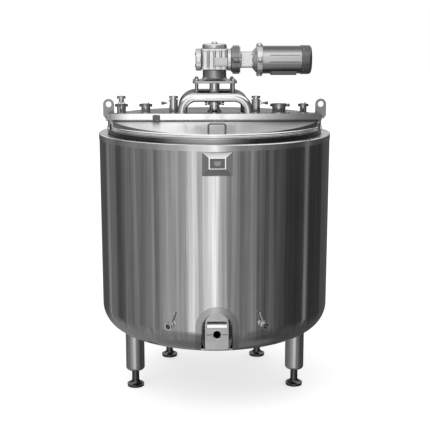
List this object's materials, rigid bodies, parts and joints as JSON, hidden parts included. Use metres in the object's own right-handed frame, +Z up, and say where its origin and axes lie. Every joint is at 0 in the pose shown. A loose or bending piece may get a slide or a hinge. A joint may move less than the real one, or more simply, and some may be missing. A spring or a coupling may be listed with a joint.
{
  "type": "bulk milk tank",
  "caption": "Upright insulated stainless milk tank with half-moon lid, bridge-mounted geared agitator motor, front outlet block and levelling feet.",
  "frame": {"origin": "on the floor at the tank axis", "axes": "+Z up along the tank axis, -Y front with the outlet and the lid, +X towards the motor"},
  "size_m": [1.3038, 1.3427, 1.978],
  "materials": {
    "shell_steel": "brushed upright",
    "trim_steel": "satin, formed and welded on",
    "top_steel": "satin",
    "neck_steel": "dull, in the shade of the rim",
    "lid_steel": "satin panel with a polished rim",
    "beam_steel": "satin, brushed along its length",
    "handle_steel": "dull polished rod",
    "vessel_steel": "satin",
    "recess_steel": "satin",
    "block_steel": "bead blasted",
    "lug_steel": "cut plate, satin",
    "polished_steel": "polished",
    "clamp_steel": "cast and polished",
    "leg_steel": "brushed lengthwise",
    "foot_steel": "turned",
    "foot_rubber": "matt black",
    "gasket_rubber": "matt grey",
    "foam": "rigid foam",
    "plate_metal": "satin",
    "gear_paint": "silver-grey paint on a casting",
    "motor_metal": "satin",
    "fan_cover_metal": "painted",
    "machine_steel": "machined"
  },
  "bodies": {
    "tank": {"outer_shell": "shell_steel", "base_plate": "shell_steel", "recess_surround": "trim_steel", "nameplate_holder": "trim_steel", "shoulder_ring": "top_steel", "rear_deck": "top_steel", "neck_ring": "neck_steel", "cross_beam": "beam_steel", "inner_vessel": "vessel_steel", "cooling_jacket": "vessel_steel", "support_ring": "vessel_steel", "recess_liner": "recess_steel", "outlet_block_lower": "block_steel", "outlet_block_upper": "block_steel", "lifting_lugs": "lug_steel", "bridge_front": "polished_steel", "bridge_rear": "polished_steel", "seal_housing": "polished_steel", "deck_ferrules": "polished_steel", "relief_valves": "polished_steel", "sample_cocks": "polished_steel", "outlet_pipe": "polished_steel", "spray_ball": "polished_steel", "hinge_pins": "polished_steel", "clamps_and_caps": "clamp_steel", "drive_studs": "clamp_steel", "stud_nuts": "clamp_steel", "bridge_plate": "clamp_steel", "leg_tubes": "leg_steel", "leg_bushes": "leg_steel", "lid_gasket": "gasket_rubber", "insulation": "foam", "nameplate": "plate_metal", "lantern": "gear_paint", "gear_housing": "gear_paint", "gear_covers": "gear_paint", "motor_adapter": "gear_paint", "motor_frame": "motor_metal", "fan_cover": "fan_cover_metal", "bearings": "machine_steel"},
    "foot_front_left": {"spindle_front_left": "foot_steel", "foot_plate_front_left": "foot_steel", "foot_rubber_front_left": "foot_rubber"},
    "foot_front_right": {"spindle_front_right": "foot_steel", "foot_plate_front_right": "foot_steel", "foot_rubber_front_right": "foot_rubber"},
    "foot_rear_left": {"spindle_rear_left": "foot_steel", "foot_plate_rear_left": "foot_steel", "foot_rubber_rear_left": "foot_rubber"},
    "foot_rear_right": {"spindle_rear_right": "foot_steel", "foot_plate_rear_right": "foot_steel", "foot_rubber_rear_right": "foot_rubber"},
    "lid": {"front_lid": "lid_steel", "lid_handle": "handle_steel"},
    "agitator_rotor": {"agitator": "polished_steel"},
    "motor_rotor": {"rotor_and_worm": "machine_steel"},
    "cock_lever_left": {"cock_lever_left": "polished_steel"},
    "relief_lever_left": {"relief_lever_left": "polished_steel"},
    "cock_lever_right": {"cock_lever_right": "polished_steel"},
    "relief_lever_right": {"relief_lever_right": "polished_steel"}
  },
  "joints": [
    {"name": "lid_hinge", "type": "hinge", "parent": "tank", "child": "lid", "pos_m": [0, -0.224, 1.548], "axis": [-1, 0, 0], "range_deg": [0, 85]},
    {"name": "motor_spin", "type": "hinge", "parent": "tank", "child": "motor_rotor", "pos_m": [0, -0.068, 1.879], "axis": [1, 0, 0], "continuous": true},
    {"name": "agitator_spin", "type": "hinge", "parent": "tank", "child": "agitator_rotor", "pos_m": [0, 0, 0.7], "axis": [0, 0, 1], "continuous": true},
    {"name": "cock_turn_left", "type": "hinge", "parent": "tank", "child": "cock_lever_left", "pos_m": [-0.24878, -0.61887, 0.525], "axis": [-0.373, -0.9278, 0], "range_deg": [0, 90]},
    {"name": "cock_turn_right", "type": "hinge", "parent": "tank", "child": "cock_lever_right", "pos_m": [0.24878, -0.61887, 0.525], "axis": [-0.373, 0.9278, 0], "range_deg": [0, 90]},
    {"name": "relief_lift_left", "type": "hinge", "parent": "tank", "child": "relief_lever_left", "pos_m": [-0.262, 0, 1.636], "axis": [0, 1, 0], "range_deg": [0, 30]},
    {"name": "relief_lift_right", "type": "hinge", "parent": "tank", "child": "relief_lever_right", "pos_m": [0.265, 0, 1.636], "axis": [0, -1, 0], "range_deg": [0, 30]},
    {"name": "levelling_front_left", "type": "slide", "parent": "tank", "child": "foot_front_left", "axis": [0, 0, 1], "range_m": [-0.03, 0.03]},
    {"name": "levelling_front_right", "type": "slide", "parent": "tank", "child": "foot_front_right", "axis": [0, 0, 1], "range_m": [-0.03, 0.03]},
    {"name": "levelling_rear_left", "type": "slide", "parent": "tank", "child": "foot_rear_left", "axis": [0, 0, 1], "range_m": [-0.03, 0.03]},
    {"name": "levelling_rear_right", "type": "slide", "parent": "tank", "child": "foot_rear_right", "axis": [0, 0, 1], "range_m": [-0.03, 0.03]}
  ],
  "couplings": [
    {"joint": "agitator_spin", "follows": "motor_spin", "ratio": 0.028571}
  ]
}
